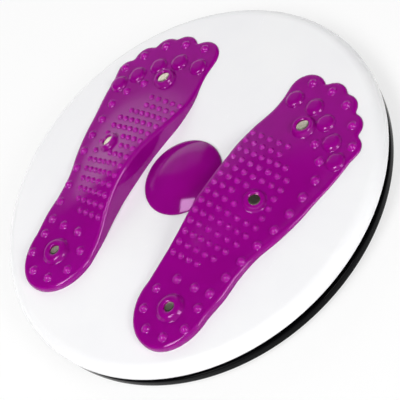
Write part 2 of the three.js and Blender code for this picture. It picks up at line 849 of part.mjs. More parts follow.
add('top_shell', topShell(), materials.shellWhite);
add('centre_cap', centreCap(), materials.capMagenta);

const rightPad = footPad();
const rightMagnets = Object.entries(padMagnets).map(([name, { place }]) => {
    const magnet = disc(magnetRadius, magnetBottom, magnetTop, bossSides);
    return [name, onPad(magnet, place.x, place.y)];
});
add('foot_pad_right', rightPad, materials.padMagenta);
add('foot_pad_left', mirrored(rightPad), materials.padMagenta);
for (const [name, geometry] of rightMagnets) {
    add(`magnet_${name}_right`, geometry, materials.magnetNickel);
    add(`magnet_${name}_left`, mirrored(geometry), materials.magnetNickel);
}

export default model;
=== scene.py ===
# %% [markdown]
# # A waist twisting disc
# The object is a turntable to stand on: a white disc with two magenta massage pads in the shape of
# feet, which turns on a ball race over a black tray. The CAD model arrives as a fixed frame, and every
# piece made here is drawn in that same frame, in metres, so nothing has to be fitted afterwards.

# %% Load the frame
import math
import bmesh
import bpy
import numpy as np
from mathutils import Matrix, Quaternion, Vector


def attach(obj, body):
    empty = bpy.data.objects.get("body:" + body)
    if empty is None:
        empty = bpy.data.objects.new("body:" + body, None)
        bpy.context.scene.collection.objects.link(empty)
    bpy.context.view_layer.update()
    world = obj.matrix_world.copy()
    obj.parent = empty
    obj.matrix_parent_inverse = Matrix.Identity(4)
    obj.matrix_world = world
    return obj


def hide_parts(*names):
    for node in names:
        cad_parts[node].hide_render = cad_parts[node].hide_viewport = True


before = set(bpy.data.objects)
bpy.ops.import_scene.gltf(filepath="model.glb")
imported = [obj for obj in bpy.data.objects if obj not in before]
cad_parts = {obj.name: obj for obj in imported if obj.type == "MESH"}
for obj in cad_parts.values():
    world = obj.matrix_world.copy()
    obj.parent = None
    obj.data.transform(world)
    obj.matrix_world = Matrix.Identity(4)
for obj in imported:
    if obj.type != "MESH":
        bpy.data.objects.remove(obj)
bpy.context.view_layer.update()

MM = 0.001

# %% [markdown]
# ## Node trees written as sums
# A node tree is easier to read as a formula than as a list of links. `Wire` stands for the output of
# a node. Adding or multiplying two wires adds the Math node that does it, and a plain number may
# stand on either side. `Tree.add` makes every other kind of node from its settings and sockets.
# The same two classes serve the materials and the Geometry Nodes.

# %% Wires and trees
class Wire:
    def __init__(self, tree, socket):
        self.tree = tree
        self.socket = socket

    def of(self, label):
        return Wire(self.tree, self.socket.node.outputs[label])

    def reckon(self, operation, *others):
        values = dict(enumerate((self, *others)))
        return self.tree.add("ShaderNodeMath", values, operation=operation)

    def __add__(self, other):
        return self.reckon("ADD", other)

    def __sub__(self, other):
        return self.reckon("SUBTRACT", other)

    def __rsub__(self, other):
        return self.tree.add("ShaderNodeMath", {0: other, 1: self}, operation="SUBTRACT")

    def __mul__(self, other):
        return self.reckon("MULTIPLY", other)

    __radd__ = __add__
    __rmul__ = __mul__


class Tree:
    def __init__(self, node_tree):
        self.made = node_tree

    def add(self, kind, sockets=None, output=0, **settings):
        """Adds a node, sets its settings, then links or fills its sockets."""
        node = self.made.nodes.new(kind)
        for setting, value in settings.items():
            setattr(node, setting, value)
        for label, value in (sockets or {}).items():
            if isinstance(value, Wire):
                self.made.links.new(value.socket, node.inputs[label])
            else:
                node.inputs[label].default_value = value
        return Wire(self, node.outputs[output]) if len(node.outputs) else node

    def smooth(self, value, low, high):
        sockets = {"Value": value, "From Min": low, "From Max": high}
        return self.add("ShaderNodeMapRange", sockets, interpolation_type="SMOOTHSTEP")

    def blend(self, factor, first, second):
        # A Mix node keeps one set of sockets for each type of data: 6 and 7 are its colours
        sockets = {0: factor, 6: first, 7: second}
        return self.add("ShaderNodeMix", sockets, output=2, data_type="RGBA")

# %% [markdown]
# ## The camera
# The photograph looks down on the disc from about 47 degrees, from beyond the right foot, with the
# camera rolled by some 43 degrees. These angles and the distance came from fitting the rim's ellipse
# and the feet's outlines. The small shift puts the optical centre where the photograph has it.

# %% Camera
CAMERA_AZIMUTH = math.radians(71.19)
CAMERA_ELEVATION = math.radians(47.27)
CAMERA_ROLL = math.radians(-42.57)
CAMERA_DISTANCE = 842.3 * MM
CAMERA_TARGET = Vector((0, 0, -1.9 * MM))
SENSOR_WIDTH = 36
LENS = 126.4
LENS_SHIFT = (-0.0054, -0.0047)

towards_camera = Vector((
    math.sin(CAMERA_AZIMUTH) * math.cos(CAMERA_ELEVATION),
    -math.cos(CAMERA_AZIMUTH) * math.cos(CAMERA_ELEVATION),
    math.sin(CAMERA_ELEVATION),
))


def aim(thing, place, target, roll=0.0):
    """Puts a lamp or camera at a place, looks it at the target and rolls it about its own axis."""
    look = (Vector(target) - Vector(place)).to_track_quat("-Z", "Y")
    thing.rotation_mode = "QUATERNION"
    thing.rotation_quaternion = look @ Quaternion((0, 0, 1), roll)
    thing.location = place


scene = bpy.context.scene
camera = bpy.data.objects.new("camera", bpy.data.cameras.new("camera"))
scene.collection.objects.link(camera)
camera.data.sensor_width = SENSOR_WIDTH
camera.data.lens = LENS
camera.data.shift_x, camera.data.shift_y = LENS_SHIFT
aim(camera, CAMERA_TARGET + towards_camera * CAMERA_DISTANCE, CAMERA_TARGET, CAMERA_ROLL)
scene.camera = camera
scene.view_settings.view_transform = "Standard"
print("camera stands", round(CAMERA_DISTANCE, 3), "m from the disc")

# %% [markdown]
# ## Studio light
# Glossy plastic shows the studio itself. The centre cap mirrors the corner of a long softbox overhead,
# on the heel side. The nubs carry a second spark, and the pads' outer edges a bright line, from a
# small low softbox beside the camera. A dim fill lights the far side, and no surface mirrors it. The
# forefoot and the left arch mirror a bright sheet opposite the camera with a haze above it, while flat
# places mirror a dim ceiling. The world paints the sheet, the haze, the ceiling and a white backdrop
# round the horizon. The camera itself sees plain white.

# %% Lamps
OVERHEAD = {
    "place": (0.162, -1.145, 1.637), "size": (0.63, 1.57), "power": 31.0, "turn": math.radians(17.9),
}
SIDE = {"place": (1.41, 0.05, 0.75), "size": (0.55, 0.55), "power": 9.0}
FILL = {"place": (-1.3, 0.45, 0.8), "size": (1.2, 1.2), "power": 6.0, "mirrored": False}


def softbox(name, target, place, size, power, turn=0.0, mirrored=True):
    lamp = bpy.data.lights.new(name, "AREA")
    lamp.shape = "RECTANGLE"
    lamp.size, lamp.size_y = size
    lamp.energy = power
    made = bpy.data.objects.new(name, lamp)
    made.visible_glossy = mirrored
    scene.collection.objects.link(made)
    aim(made, place, target, turn)
    print(name, "gives", power, "W over", size[0], "x", size[1], "m")


straight_below = (*OVERHEAD["place"][:2], 0)
disc_centre = (0, 0, 0)
softbox("overhead_softbox", straight_below, **OVERHEAD)
softbox("side_softbox", disc_centre, **SIDE)
softbox("fill_softbox", disc_centre, **FILL)

# %% Walls and ceiling of the studio
# A direction's rise is its height over its reach ahead, and its slant is its reach across over ahead
PANEL_AHEAD = Vector((-0.819, 0.574, 0.0))
PANEL_ACROSS = Vector((-0.574, -0.819, 0.0))
LEAST_AHEAD = 0.02
SHEET_LEVEL = 0.6
SHEET_EDGE = (0.44, 0.66)
HAZE_LEVEL = 0.35
HAZE_FADE = (0.8, 1.6)
PANEL_LEAN = 0.36
PANEL_SIDES = {"heel": (0.68, 0.86), "toe": (-0.45, -0.25)}
FRONT_AHEAD = Vector((0.85, -0.35, 0.39)).normalized()
FRONT_FADE = (0.25, 0.85)
FRONT_LEVEL = 0.3
BACKDROP_LEVEL = 0.94
BACKDROP_TOP = 0.3
CEILING_LEVEL = 0.025

world = bpy.data.worlds.new("studio")
scene.world = world
world.use_nodes = True
world.node_tree.nodes.clear()
studio = Tree(world.node_tree)
outward = studio.add("ShaderNodeTexCoord", output="Generated")


def along(direction):
    sockets = {0: outward, 1: direction}
    return studio.add("ShaderNodeVectorMath", sockets, output="Value", operation="DOT_PRODUCT")


height = studio.add("ShaderNodeSeparateXYZ", {0: outward}, output="Z")
ahead = along(PANEL_AHEAD).reckon("MAXIMUM", LEAST_AHEAD)
rise = height.reckon("DIVIDE", ahead)
slant = along(PANEL_ACROSS).reckon("DIVIDE", ahead)
heel_side = 1 - studio.smooth(slant + rise * PANEL_LEAN, *PANEL_SIDES["heel"])
toe_side = studio.smooth(slant, *PANEL_SIDES["toe"])
sheet = (1 - studio.smooth(rise, *SHEET_EDGE)) * SHEET_LEVEL
haze = (1 - studio.smooth(rise, *HAZE_FADE)) * HAZE_LEVEL
panel = (sheet + haze) * heel_side * toe_side

rays = studio.add("ShaderNodeLightPath", output="Is Camera Ray")
in_mirrors = rays.of("Is Glossy Ray") + rays.of("Is Transmission Ray")
backdrop_level = BACKDROP_LEVEL + (1 - BACKDROP_LEVEL) * in_mirrors
backdrop = (1 - studio.smooth(height, 0.0, BACKDROP_TOP)) * backdrop_level
front = FRONT_LEVEL * studio.smooth(along(FRONT_AHEAD), *FRONT_FADE)
level = (backdrop.reckon("MAXIMUM", front) + CEILING_LEVEL).reckon("MAXIMUM", panel)
strength = rays + (1 - rays) * level
background = studio.add("ShaderNodeBackground", {"Color": (1, 1, 1, 1), "Strength": strength})
studio.add("ShaderNodeOutputWorld", {"Surface": background})
print("the studio is painted with", len(world.node_tree.nodes), "nodes")

# %% [markdown]
# ## The floor
# The floor is plain and pale. Its diffuse part takes the soft shadow of the disc, and a glowing
# part, which only the camera and mirrored rays see, keeps it as white as the photograph's background.

# %% Floor
FLOOR_SIZE = 6.0
FLOOR_GLOW = 0.72
FLOOR_COLOUR = (250, 250, 250)


def linear(red, green, blue):
    """A colour as seen on screen, 0 to 255, in the linear values that Blender's sockets take."""
    def one(value):
        value /= 255
        return value / 12.92 if value <= 0.04045 else ((value + 0.055) / 1.055) ** 2.4
    return (one(red), one(green), one(blue), 1.0)


def new_material(name):
    material = bpy.data.materials.new(name)
    material.use_nodes = True
    material.node_tree.nodes.clear()
    return material, Tree(material.node_tree)


floor_paper, tree = new_material("floor_paper")
paper = tree.add("ShaderNodeBsdfDiffuse", {"Color": linear(*FLOOR_COLOUR)})
glow = tree.add("ShaderNodeEmission", {"Color": (1, 1, 1, 1), "Strength": 1.0})
rays = tree.add("ShaderNodeLightPath", output="Is Camera Ray")
shown = rays + rays.of("Is Glossy Ray") + rays.of("Is Transmission Ray")
both = tree.add("ShaderNodeMixShader", {0: shown * FLOOR_GLOW, 1: paper, 2: glow})
tree.add("ShaderNodeOutputMaterial", {"Surface": both})

floor_mesh = bpy.data.meshes.new("floor")
half = FLOOR_SIZE / 2
corners = [(-half, -half, 0), (half, -half, 0), (half, half, 0), (-half, half, 0)]
floor_mesh.from_pydata(corners, [], [(0, 1, 2, 3)])
floor_mesh.materials.append(floor_paper)
floor = bpy.data.objects.new("floor", floor_mesh)
scene.collection.objects.link(floor)
print("floor", FLOOR_SIZE, "m wide")

# %% [markdown]
# ## Finishes
# All the visible plastic is injection moulded. A moulding is never quite even: it has slow ripples
# where it sank as it cooled, a fine grain from the tool, a colour that drifts by a few percent, and
# gloss that handling has dulled in patches. Each is one noise at its own scale. Scuffs are the
# thin lines where a stretched noise crosses its middle value.

# %% How a moulding is made
DRIFT_SIZE = 45 * MM
PATCH_SIZE = 14 * MM
RIPPLE_SIZE = 30 * MM
SCUFF_SIZE = 6 * MM
SCUFF_STRETCH = (1.0, 0.12, 1.0)
SCUFF_WIDTH = 0.012
DRIFT_BAND = (0.3, 0.7)
RUBBED_BAND = (0.5, 0.75)


def noise(tree, place, size, detail=2.0, roughness=0.5, stretch=(1, 1, 1)):
    mapped = tree.add("ShaderNodeMapping", {"Vector": place, "Scale": stretch})
    sockets = {"Vector": mapped, "Scale": 1 / size, "Detail": detail, "Roughness": roughness}
    return tree.add("ShaderNodeTexNoise", sockets, output=0)


def coated(material, tree, sockets):
    """Ends a material in one Principled shader."""
    shader = tree.add("ShaderNodeBsdfPrincipled", sockets)
    tree.add("ShaderNodeOutputMaterial", {"Surface": shader})
    print(material.name, "has", len(material.node_tree.nodes), "nodes")
    return material


def moulded(
    name, colour, drift, roughness, dulling, grain, grain_depth, ripple_depth, scuffs=0.0, **constants
):
    """A plastic between two close colours. The constants go straight to the shader's own sockets."""
    material, tree = new_material(name)
    place = tree.add("ShaderNodeTexCoord", output="Object")
    drifting = noise(tree, place, DRIFT_SIZE, 3.0)
    patches = noise(tree, place, PATCH_SIZE, 5.0, 0.6)
    fine = noise(tree, place, grain, 2.0)
    ripple = noise(tree, place, RIPPLE_SIZE, 1.0)
    scratch = noise(tree, place, SCUFF_SIZE, 4.0, 0.7, SCUFF_STRETCH)
    on_line = 1 - tree.smooth((scratch - 0.5).reckon("ABSOLUTE"), 0.0, SCUFF_WIDTH)
    rubbed = on_line * tree.smooth(patches, *RUBBED_BAND) * scuffs
    shifted = tree.blend(tree.smooth(drifting, *DRIFT_BAND), linear(*colour), linear(*drift))
    rough = roughness + dulling * (patches - 0.5) + rubbed
    relief = fine * (grain_depth / ripple_depth) + ripple
    bump = tree.add("ShaderNodeBump", {"Height": relief, "Strength": 1.0, "Distance": ripple_depth})
    sockets = {"Base Color": shifted, "Roughness": rough, "Normal": bump, **constants}
    return coated(material, tree, sockets)


print("slow drifts of", round(DRIFT_SIZE / MM), "mm, ripples of", round(RIPPLE_SIZE / MM), "mm")

# %% [markdown]
# The magenta plastic is a little translucent: light goes a few millimetres in and comes out again,
# most of all its red and blue, and the gloss takes the same tint. The nubs are the same plastic:
# their paler magenta is painted light, for the extra light that they catch over the flat places,
# and their finish is duller. The black tray is kept nearly free of gloss, because the white floor
# would turn it grey.

# %% Moulded plastic and rubber
TRANSLUCENT = {
    "Subsurface Weight": 0.5, "Subsurface Radius": (1.0, 0.15, 0.8), "Subsurface Scale": 3 * MM,
    "Specular Tint": (1.0, 0.58, 1.0, 1.0),
}
PAD_GRAIN = {"grain": 0.35 * MM, "grain_depth": 0.002 * MM, "ripple_depth": 0.03 * MM, "scuffs": 0.08}
NYLON_GRAIN = {"grain": 0.3 * MM, "grain_depth": 0.004 * MM, "ripple_depth": 0.03 * MM}
shell_white = moulded(
    "shell_white", (249, 249, 250), (246, 246, 248), roughness=0.2, dulling=0.08,
    grain=0.5 * MM, grain_depth=0.002 * MM, ripple_depth=0.05 * MM, scuffs=0.12,
)
pad_magenta = moulded(
    "pad_magenta", (152, 4, 139), (146, 2, 132), roughness=0.11, dulling=0.04, **PAD_GRAIN, **TRANSLUCENT,
)
# The nubs' paler magenta is painted light: it is the pad's plastic, lifted for the extra light that nubs
# catch. Their duller gloss is their own.
nub_magenta_painted_light = moulded(
    "nub_magenta_painted_light", (171, 13, 157), (164, 9, 150), roughness=0.16, dulling=0.05, **PAD_GRAIN, **TRANSLUCENT,
)
cap_magenta = moulded(
    "cap_magenta", (147, 4, 134), (141, 2, 127), roughness=0.1, dulling=0.04,
    grain=0.35 * MM, grain_depth=0.001 * MM, ripple_depth=0.02 * MM, scuffs=0.06, **TRANSLUCENT,
)
tray_black = moulded(
    "tray_black", (9, 9, 11), (6, 6, 8), roughness=0.12, dulling=0.06,
    grain=0.3 * MM, grain_depth=0.002 * MM, ripple_depth=0.04 * MM, scuffs=0.3,
    **{"Specular IOR Level": 0.05},
)
foot_rubber = moulded(
    "foot_rubber", (38, 38, 41), (30, 30, 33), roughness=0.8, dulling=0.15,
    grain=0.6 * MM, grain_depth=0.03 * MM, ripple_depth=0.05 * MM, **{"Specular IOR Level": 0.35},
)
cage_acetal = moulded(
    "cage_acetal", (222, 218, 207), (213, 209, 196), roughness=0.45, dulling=0.12, **NYLON_GRAIN,
)
washer_nylon = moulded(
    "washer_nylon", (230, 226, 216), (222, 217, 205), roughness=0.5, dulling=0.12, **NYLON_GRAIN,
)

# %% [markdown]
# Metals differ in how they were finished. A race is ground in circles round the disc's axis, so its
# grain is a noise stretched along the turn: the noise is read at the radius and height alone. Balls
# are polished, and zinc and nickel plating is mottled with fine wipe marks.

# %% Metals
WIPE_SIZE = 0.5 * MM
WIPE_STRETCH = (1.0, 0.15, 0.6)
RING_SIZE = 0.35 * MM
WIPE_DEPTH = 0.003 * MM
WIPE_DULLING = 0.12
STAIN_BAND = (0.35, 0.75)


def plated(name, colour, tarnish, roughness, dulling, mottling, turned=False):
    material, tree = new_material(name)
    place = tree.add("ShaderNodeTexCoord", output="Object")
    stained = noise(tree, place, mottling, 5.0, 0.62)
    if turned:
        flat = tree.add("ShaderNodeVectorMath", {0: place, 1: (1, 1, 0)}, operation="MULTIPLY")
        radius = tree.add("ShaderNodeVectorMath", {0: flat}, output="Value", operation="LENGTH")
        level = tree.add("ShaderNodeSeparateXYZ", {0: place}, output="Z")
        rings = tree.add("ShaderNodeCombineXYZ", {"X": radius, "Z": level})
        wiped = noise(tree, rings, RING_SIZE, 4.0, 0.7)
    else:
        wiped = noise(tree, place, WIPE_SIZE, 3.0, 0.6, WIPE_STRETCH)
    colours = tree.blend(tree.smooth(stained, *STAIN_BAND), linear(*colour), linear(*tarnish))
    rough = roughness + dulling * (stained - 0.5) + WIPE_DULLING * (wiped - 0.5)
    bump = tree.add("ShaderNodeBump", {"Height": wiped, "Strength": 1.0, "Distance": WIPE_DEPTH})
    sockets = {"Base Color": colours, "Roughness": rough, "Normal": bump, "Metallic": 1.0}
    return coated(material, tree, sockets)


race_steel = plated(
    "race_steel", (168, 167, 164), (140, 136, 130),
    roughness=0.3, dulling=0.12, mottling=5 * MM, turned=True,
)
ball_steel = plated(
    "ball_steel", (205, 205, 208), (190, 189, 190), roughness=0.09, dulling=0.04, mottling=2 * MM,
)
bolt_zinc = plated(
    "bolt_zinc", (196, 194, 186), (170, 164, 150), roughness=0.36, dulling=0.16, mottling=2 * MM,
)
magnet_nickel = plated(
    "magnet_nickel", (236, 229, 213), (216, 205, 182), roughness=0.2, dulling=0.12, mottling=1.5 * MM,
)

# %% [markdown]
# ## Turned pieces
# Shell, tray, cap, races and feet are round, so each is a profile swept once round an axis. The
# sweep is a Geometry Nodes tree: the profile becomes a curve, a circle carries it round, and the
# points that meet on the axis are merged. On a circle with upright normals a profile's X points
# outwards and its Y points down, so the profile is drawn as (radius - circle, -height).

# %% The turning tree
CIRCLE = 100 * MM
MERGE = 0.002 * MM
SHARP = math.radians(32)


def geometry_tree(name, inputs):
    """A Geometry Nodes group with named inputs. Returns its Tree and a Wire for every input."""
    group = bpy.data.node_groups.new(name, "GeometryNodeTree")
    group.interface.new_socket("Geometry", in_out="INPUT", socket_type="NodeSocketGeometry")
    for label, kind in inputs.items():
        group.interface.new_socket(label, in_out="INPUT", socket_type=kind)
    group.interface.new_socket("Geometry", in_out="OUTPUT", socket_type="NodeSocketGeometry")
    tree = Tree(group)
    start = tree.add("NodeGroupInput")
    return tree, {label: start.of(label) for label in ("Geometry", *inputs)}


def close_tree(tree, shape, finish):
    whole = tree.add("GeometryNodeRealizeInstances", {"Geometry": shape})
    dressed = tree.add("GeometryNodeSetMaterial", {"Geometry": whole, "Material": finish})
    tree.add("NodeGroupOutput", {"Geometry": dressed})
    print(tree.made.name, "has", len(tree.made.nodes), "nodes")
    return tree.made


tree, given = geometry_tree(
    "turned_piece", {"Steps": "NodeSocketInt", "Circle": "NodeSocketFloat", "Finish": "NodeSocketMaterial"}
)
profile = tree.add("GeometryNodeMeshToCurve", {"Mesh": given["Geometry"]})
round_trip = {"Resolution": given["Steps"], "Radius": given["Circle"]}
circle = tree.add("GeometryNodeCurvePrimitiveCircle", round_trip)
upright = tree.add("GeometryNodeSetCurveNormal", {"Curve": circle}, mode="Z_UP")
swept = tree.add("GeometryNodeCurveToMesh", {"Curve": upright, "Profile Curve": profile})
merged = tree.add("GeometryNodeMergeByDistance", {"Geometry": swept, "Distance": MERGE})
TURNED_PIECE = close_tree(tree, merged, given["Finish"])


def applied(name, source, group, values):
    """Runs a Geometry Nodes group on a mesh and returns the result as a plain mesh object."""
    worker = bpy.data.objects.new(name, source)
    scene.collection.objects.link(worker)
    modifier = worker.modifiers.new(group.name, "NODES")
    modifier.node_group = group
    for item in group.interface.items_tree:
        if item.item_type == "SOCKET" and item.in_out == "INPUT" and item.name in values:
            modifier[item.identifier] = values[item.name]
    ready = worker.evaluated_get(bpy.context.evaluated_depsgraph_get())
    mesh = bpy.data.meshes.new_from_object(ready)
    mesh.name = name
    worker.modifiers.clear()
    worker.data = mesh
    tidied(mesh)
    return worker


def tidied(mesh):
    """Merges doubles, turns every face outwards and keeps crisp corners in the smooth shading."""
    work = bmesh.new()
    work.from_mesh(mesh)
    bmesh.ops.remove_doubles(work, verts=work.verts, dist=MERGE / 4)
    loose = [edge for edge in work.edges if not edge.link_faces]
    bmesh.ops.delete(work, geom=loose, context="EDGES")
    bmesh.ops.recalc_face_normals(work, faces=work.faces)
    work.to_mesh(mesh)
    work.free()
    mesh.shade_smooth()
    mesh.set_sharp_from_angle(angle=SHARP)


# %% Profiles with softened corners
def softened(corners, steps=4):
    """A closed profile of (radius, height) or (radius, height, fillet) corners in mm, filleted."""
    points = []
    count = len(corners)
    for i, (radius, height, *fillet) in enumerate(corners):
        here = np.array((radius, height), float)
        if not fillet:
            points.append(here)
            continue
        before = np.array(corners[i - 1][:2], float) - here
        after = np.array(corners[(i + 1) % count][:2], float) - here
        reach = min(fillet[0], np.linalg.norm(before) / 2, np.linalg.norm(after) / 2)
        start = here + before / np.linalg.norm(before) * reach
        end = here + after / np.linalg.norm(after) * reach
        for t in np.linspace(0, 1, steps + 1):
            points.append((1 - t) ** 2 * start + 2 * t * (1 - t) * here + t ** 2 * end)
    return points


def turned(name, profile, steps, finish, closed=True):
    """A round piece from its profile in mm. An open profile starts and ends on the axis."""
    count = len(profile)
    mesh = bpy.data.meshes.new(name + "_profile")
    places = [(radius * MM - CIRCLE, -height * MM, 0) for radius, height in profile]
    edges = [(i, (i + 1) % count) for i in range(count if closed else count - 1)]
    mesh.from_pydata(places, edges, [])
    piece = applied(name, mesh, TURNED_PIECE, {"Steps": steps, "Circle": CIRCLE, "Finish": finish})
    print(name, len(piece.data.polygons), "faces")
    return piece


def placed(piece, body, slot, *nodes):
    """Seats a finished piece on its CAD body and hides the CAD nodes that it stands for."""
    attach(piece, body)
    if nodes:
        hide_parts(*nodes)
    return piece


square = softened([(0, 0, 1), (10, 0, 1), (10, 10, 1), (0, 10, 1)])
print("a square with four round corners has", len(square), "points")

# %% [markdown]
# ## The shell
# The white shell is one moulding: a nearly flat top that crowns by 0.7 mm, a shoulder that rolls
# down a quarter of an ellipse, and a short upright rim. In the middle is the well that takes the
# pivot's nut, and underneath hangs the seat of the upper race. The profile runs once round all of it.

# %% Turntable shell
DISC_RADIUS = 125.0
RIM_BASE = 13.5
RIM_LAND = 1.6
SHOULDER_WIDTH = 7.5
SHOULDER_HEIGHT = 6.3
CROWN_RISE = 0.7
SHELL_WALL = 2.5
BORE = 4.3
WELL_RADIUS = 14.0
HUB_FLOOR = (11.2, 14.2)
SEAT_RADII = (43.9, 56.1)
SEAT_LIP = 1.3
SEAT_DEPTH = 1.2
UPPER_SEAT = 17.2
UNDERSIDE_START = 100.0
FILLET = 0.3
LARGE_STEPS = 256
INSIDE_STEPS = 8
OUTSIDE_STEPS = 28
CROWN_STEPS = 22
SHOULDER_RADIUS = DISC_RADIUS - SHOULDER_WIDTH
SHOULDER_BASE = RIM_BASE + RIM_LAND
CROWN = SHOULDER_BASE + SHOULDER_HEIGHT + CROWN_RISE


def shell_height(radius):
    return CROWN - CROWN_RISE * (radius / SHOULDER_RADIUS) ** 2


def shoulder(width, height, steps):
    turns = np.linspace(0, math.pi / 2, steps + 1)
    return [(SHOULDER_RADIUS + width * math.cos(t), SHOULDER_BASE + height * math.sin(t)) for t in turns]


def under(radius):
    return shell_height(radius) - SHELL_WALL


well_outer = WELL_RADIUS + SHELL_WALL
seat_inner, seat_outer = SEAT_RADII
lip_inner = seat_inner + SEAT_LIP
lip_outer = seat_outer - SEAT_LIP
lip_base = UPPER_SEAT - SEAT_DEPTH
rim_inner = DISC_RADIUS - SHELL_WALL
brim = shell_height(WELL_RADIUS)
inside = shoulder(SHOULDER_WIDTH - SHELL_WALL, SHOULDER_HEIGHT - SHELL_WALL, INSIDE_STEPS)
outside = shoulder(SHOULDER_WIDTH, SHOULDER_HEIGHT, OUTSIDE_STEPS)
top_radii = np.linspace(SHOULDER_RADIUS, WELL_RADIUS + 0.6, CROWN_STEPS)[1:]
shell_profile = [
    *softened([
        (BORE, HUB_FLOOR[0]), (well_outer, HUB_FLOOR[0], 0.8), (well_outer, under(well_outer), 1.0),
        (seat_inner, under(seat_inner), 0.8), (seat_inner, lip_base, FILLET),
        (lip_inner, lip_base, FILLET), (lip_inner, UPPER_SEAT), (lip_outer, UPPER_SEAT),
        (lip_outer, lip_base, FILLET), (seat_outer, lip_base, FILLET),
        (seat_outer, under(seat_outer), 0.8), (UNDERSIDE_START, under(UNDERSIDE_START)),
    ])[:-1],
    *reversed(inside),
    (rim_inner, RIM_BASE + 0.3), (rim_inner + 0.3, RIM_BASE), (DISC_RADIUS - 0.5, RIM_BASE),
    (DISC_RADIUS - 0.15, RIM_BASE + 0.15), (DISC_RADIUS, RIM_BASE + 0.5),
    *outside,
    *[(radius, shell_height(radius)) for radius in top_radii],
    (WELL_RADIUS + 0.18, brim - 0.14), (WELL_RADIUS, brim - 0.6),
    (WELL_RADIUS, HUB_FLOOR[1]), (BORE, HUB_FLOOR[1]),
]
shell = turned("shell_top", shell_profile, LARGE_STEPS, shell_white)
placed(shell, "turntable", "shell_white", "top_shell")

# %% [markdown]
# ## The centre cap
# The cap is a shallow dome with a thin upright edge and a spigot that plugs into the well. Its
# profile starts and ends on the axis, so it stays open, and the merge closes the two poles.

# %% Centre cap
CAP_RADIUS = 25.5
CAP_RISE = 6.6
CAP_ROLL = 0.35
CAP_BASE = CROWN + 0.3
CAP_EDGE = 0.7
CAP_WALL = 2.0
SPIGOT = (12.2, 13.7)
SPIGOT_DEPTH = 4.6
MIDDLE_STEPS = 144
DOME_ROWS = 34


def cap_height(radius):
    share = (radius / CAP_RADIUS) ** 2
    return CAP_BASE + CAP_EDGE + CAP_RISE * (1 - (1 - CAP_ROLL) * share - CAP_ROLL * share ** 2)


spigot_end = CAP_BASE - SPIGOT_DEPTH
cap_edge = CAP_BASE + CAP_EDGE
cap_profile = [
    (0, cap_height(0) - CAP_WALL), *[(r, cap_height(r) - CAP_WALL) for r in np.linspace(2, SPIGOT[0], 6)],
    (SPIGOT[0], spigot_end + 0.3), (SPIGOT[0] + 0.3, spigot_end),
    (SPIGOT[1] - 0.4, spigot_end), (SPIGOT[1], spigot_end + 0.4),
    (SPIGOT[1], CAP_BASE), (CAP_RADIUS - 0.25, CAP_BASE), (CAP_RADIUS, CAP_BASE + 0.2),
    (CAP_RADIUS, cap_edge - 0.3), (CAP_RADIUS - 0.12, cap_edge - 0.02),
    *[(r, cap_height(r)) for r in np.linspace(CAP_RADIUS - 0.5, 0, DOME_ROWS)],
]
cap = turned("cap_dome", cap_profile, MIDDLE_STEPS, cap_magenta, closed=False)
placed(cap, "turntable", "cap_magenta", "centre_cap")

# %% [markdown]
# ## The tray
# The tray stands still. From outside only its stepped band shows, and above it the dark slot where
# the collar reaches up inside the turning rim.

# %% Base tray
TRAY_RADIUS = 124.0
TRAY_BASE = 3.0
TRAY_FLOOR = 5.5
BAND_TOP = 8.7
COLLAR = (118.8, 121.4)
COLLAR_TOP = 14.0
LOWER_SEAT = 7.6
TRAY_HUB = (14.0, 9.6)
collar_inner, collar_outer = COLLAR
lip_top = LOWER_SEAT + SEAT_DEPTH
tray_profile = softened([
    (BORE, TRAY_BASE, FILLET), (TRAY_RADIUS, TRAY_BASE, 1.1), (TRAY_RADIUS, BAND_TOP, 1.0),
    (collar_outer, BAND_TOP, 0.4), (collar_outer, COLLAR_TOP, FILLET),
    (collar_inner, COLLAR_TOP, FILLET), (collar_inner, TRAY_FLOOR, 0.6),
    (seat_outer, TRAY_FLOOR, 0.5), (seat_outer, lip_top, FILLET), (lip_outer, lip_top, FILLET),
    (lip_outer, LOWER_SEAT), (lip_inner, LOWER_SEAT), (lip_inner, lip_top, FILLET),
    (seat_inner, lip_top, FILLET), (seat_inner, TRAY_FLOOR, 0.5), (TRAY_HUB[0], TRAY_FLOOR, 0.6),
    (*TRAY_HUB, 0.4), (BORE, TRAY_HUB[1], FILLET),
])
tray = turned("tray_body", tray_profile, LARGE_STEPS, tray_black)
placed(tray, "base", "tray_black", "base_tray")

# %% [markdown]
# ## Rings of equal pieces
# Feet, ribs and balls repeat round the axis. One tree does all three: a circle of points, the
# piece on each point, turned to face outwards, and the whole ring turned by its first angle.

# %% The ring tree
tree, given = geometry_tree("ring_of_pieces", {
    "Count": "NodeSocketInt", "Radius": "NodeSocketFloat", "First angle": "NodeSocketFloat",
    "Finish": "NodeSocketMaterial",
})
ring = tree.add("GeometryNodeMeshCircle", {"Vertices": given["Count"], "Radius": given["Radius"]})
place = tree.add("GeometryNodeInputPosition")
along_x = tree.add("ShaderNodeSeparateXYZ", {0: place}, output="X")
angle = along_x.of("Y").reckon("ARCTAN2", along_x)
facing = tree.add("ShaderNodeCombineXYZ", {"Z": angle})
copies = tree.add(
    "GeometryNodeInstanceOnPoints", {"Points": ring, "Instance": given["Geometry"], "Rotation": facing}
)
first = tree.add("ShaderNodeCombineXYZ", {"Z": given["First angle"]})
turned_ring = tree.add("GeometryNodeTransform", {"Geometry": copies, "Rotation": first})
RING_OF_PIECES = close_tree(tree, turned_ring, given["Finish"])


def ring_of(name, stamp, count, radius, finish, first_angle=0.0):
    values = {"Count": count, "Radius": radius * MM, "First angle": first_angle, "Finish": finish}
    piece = applied(name, stamp, RING_OF_PIECES, values)
    print(name, count, "times", len(stamp.polygons), "faces")
    return piece


# %% Rubber feet, ribs and balls
FEET = 6
FEET_RADIUS = 104.0
FOOT_RADIUS = 9.0
FOOT_SOLE = 7.9
FOOT_SLOPE = 1.1
FOOT_TOP = 3.9
SMALL_STEPS = 48
RIBS = 6
RIB_HALF = 1.0
RIB_EDGE = 0.3
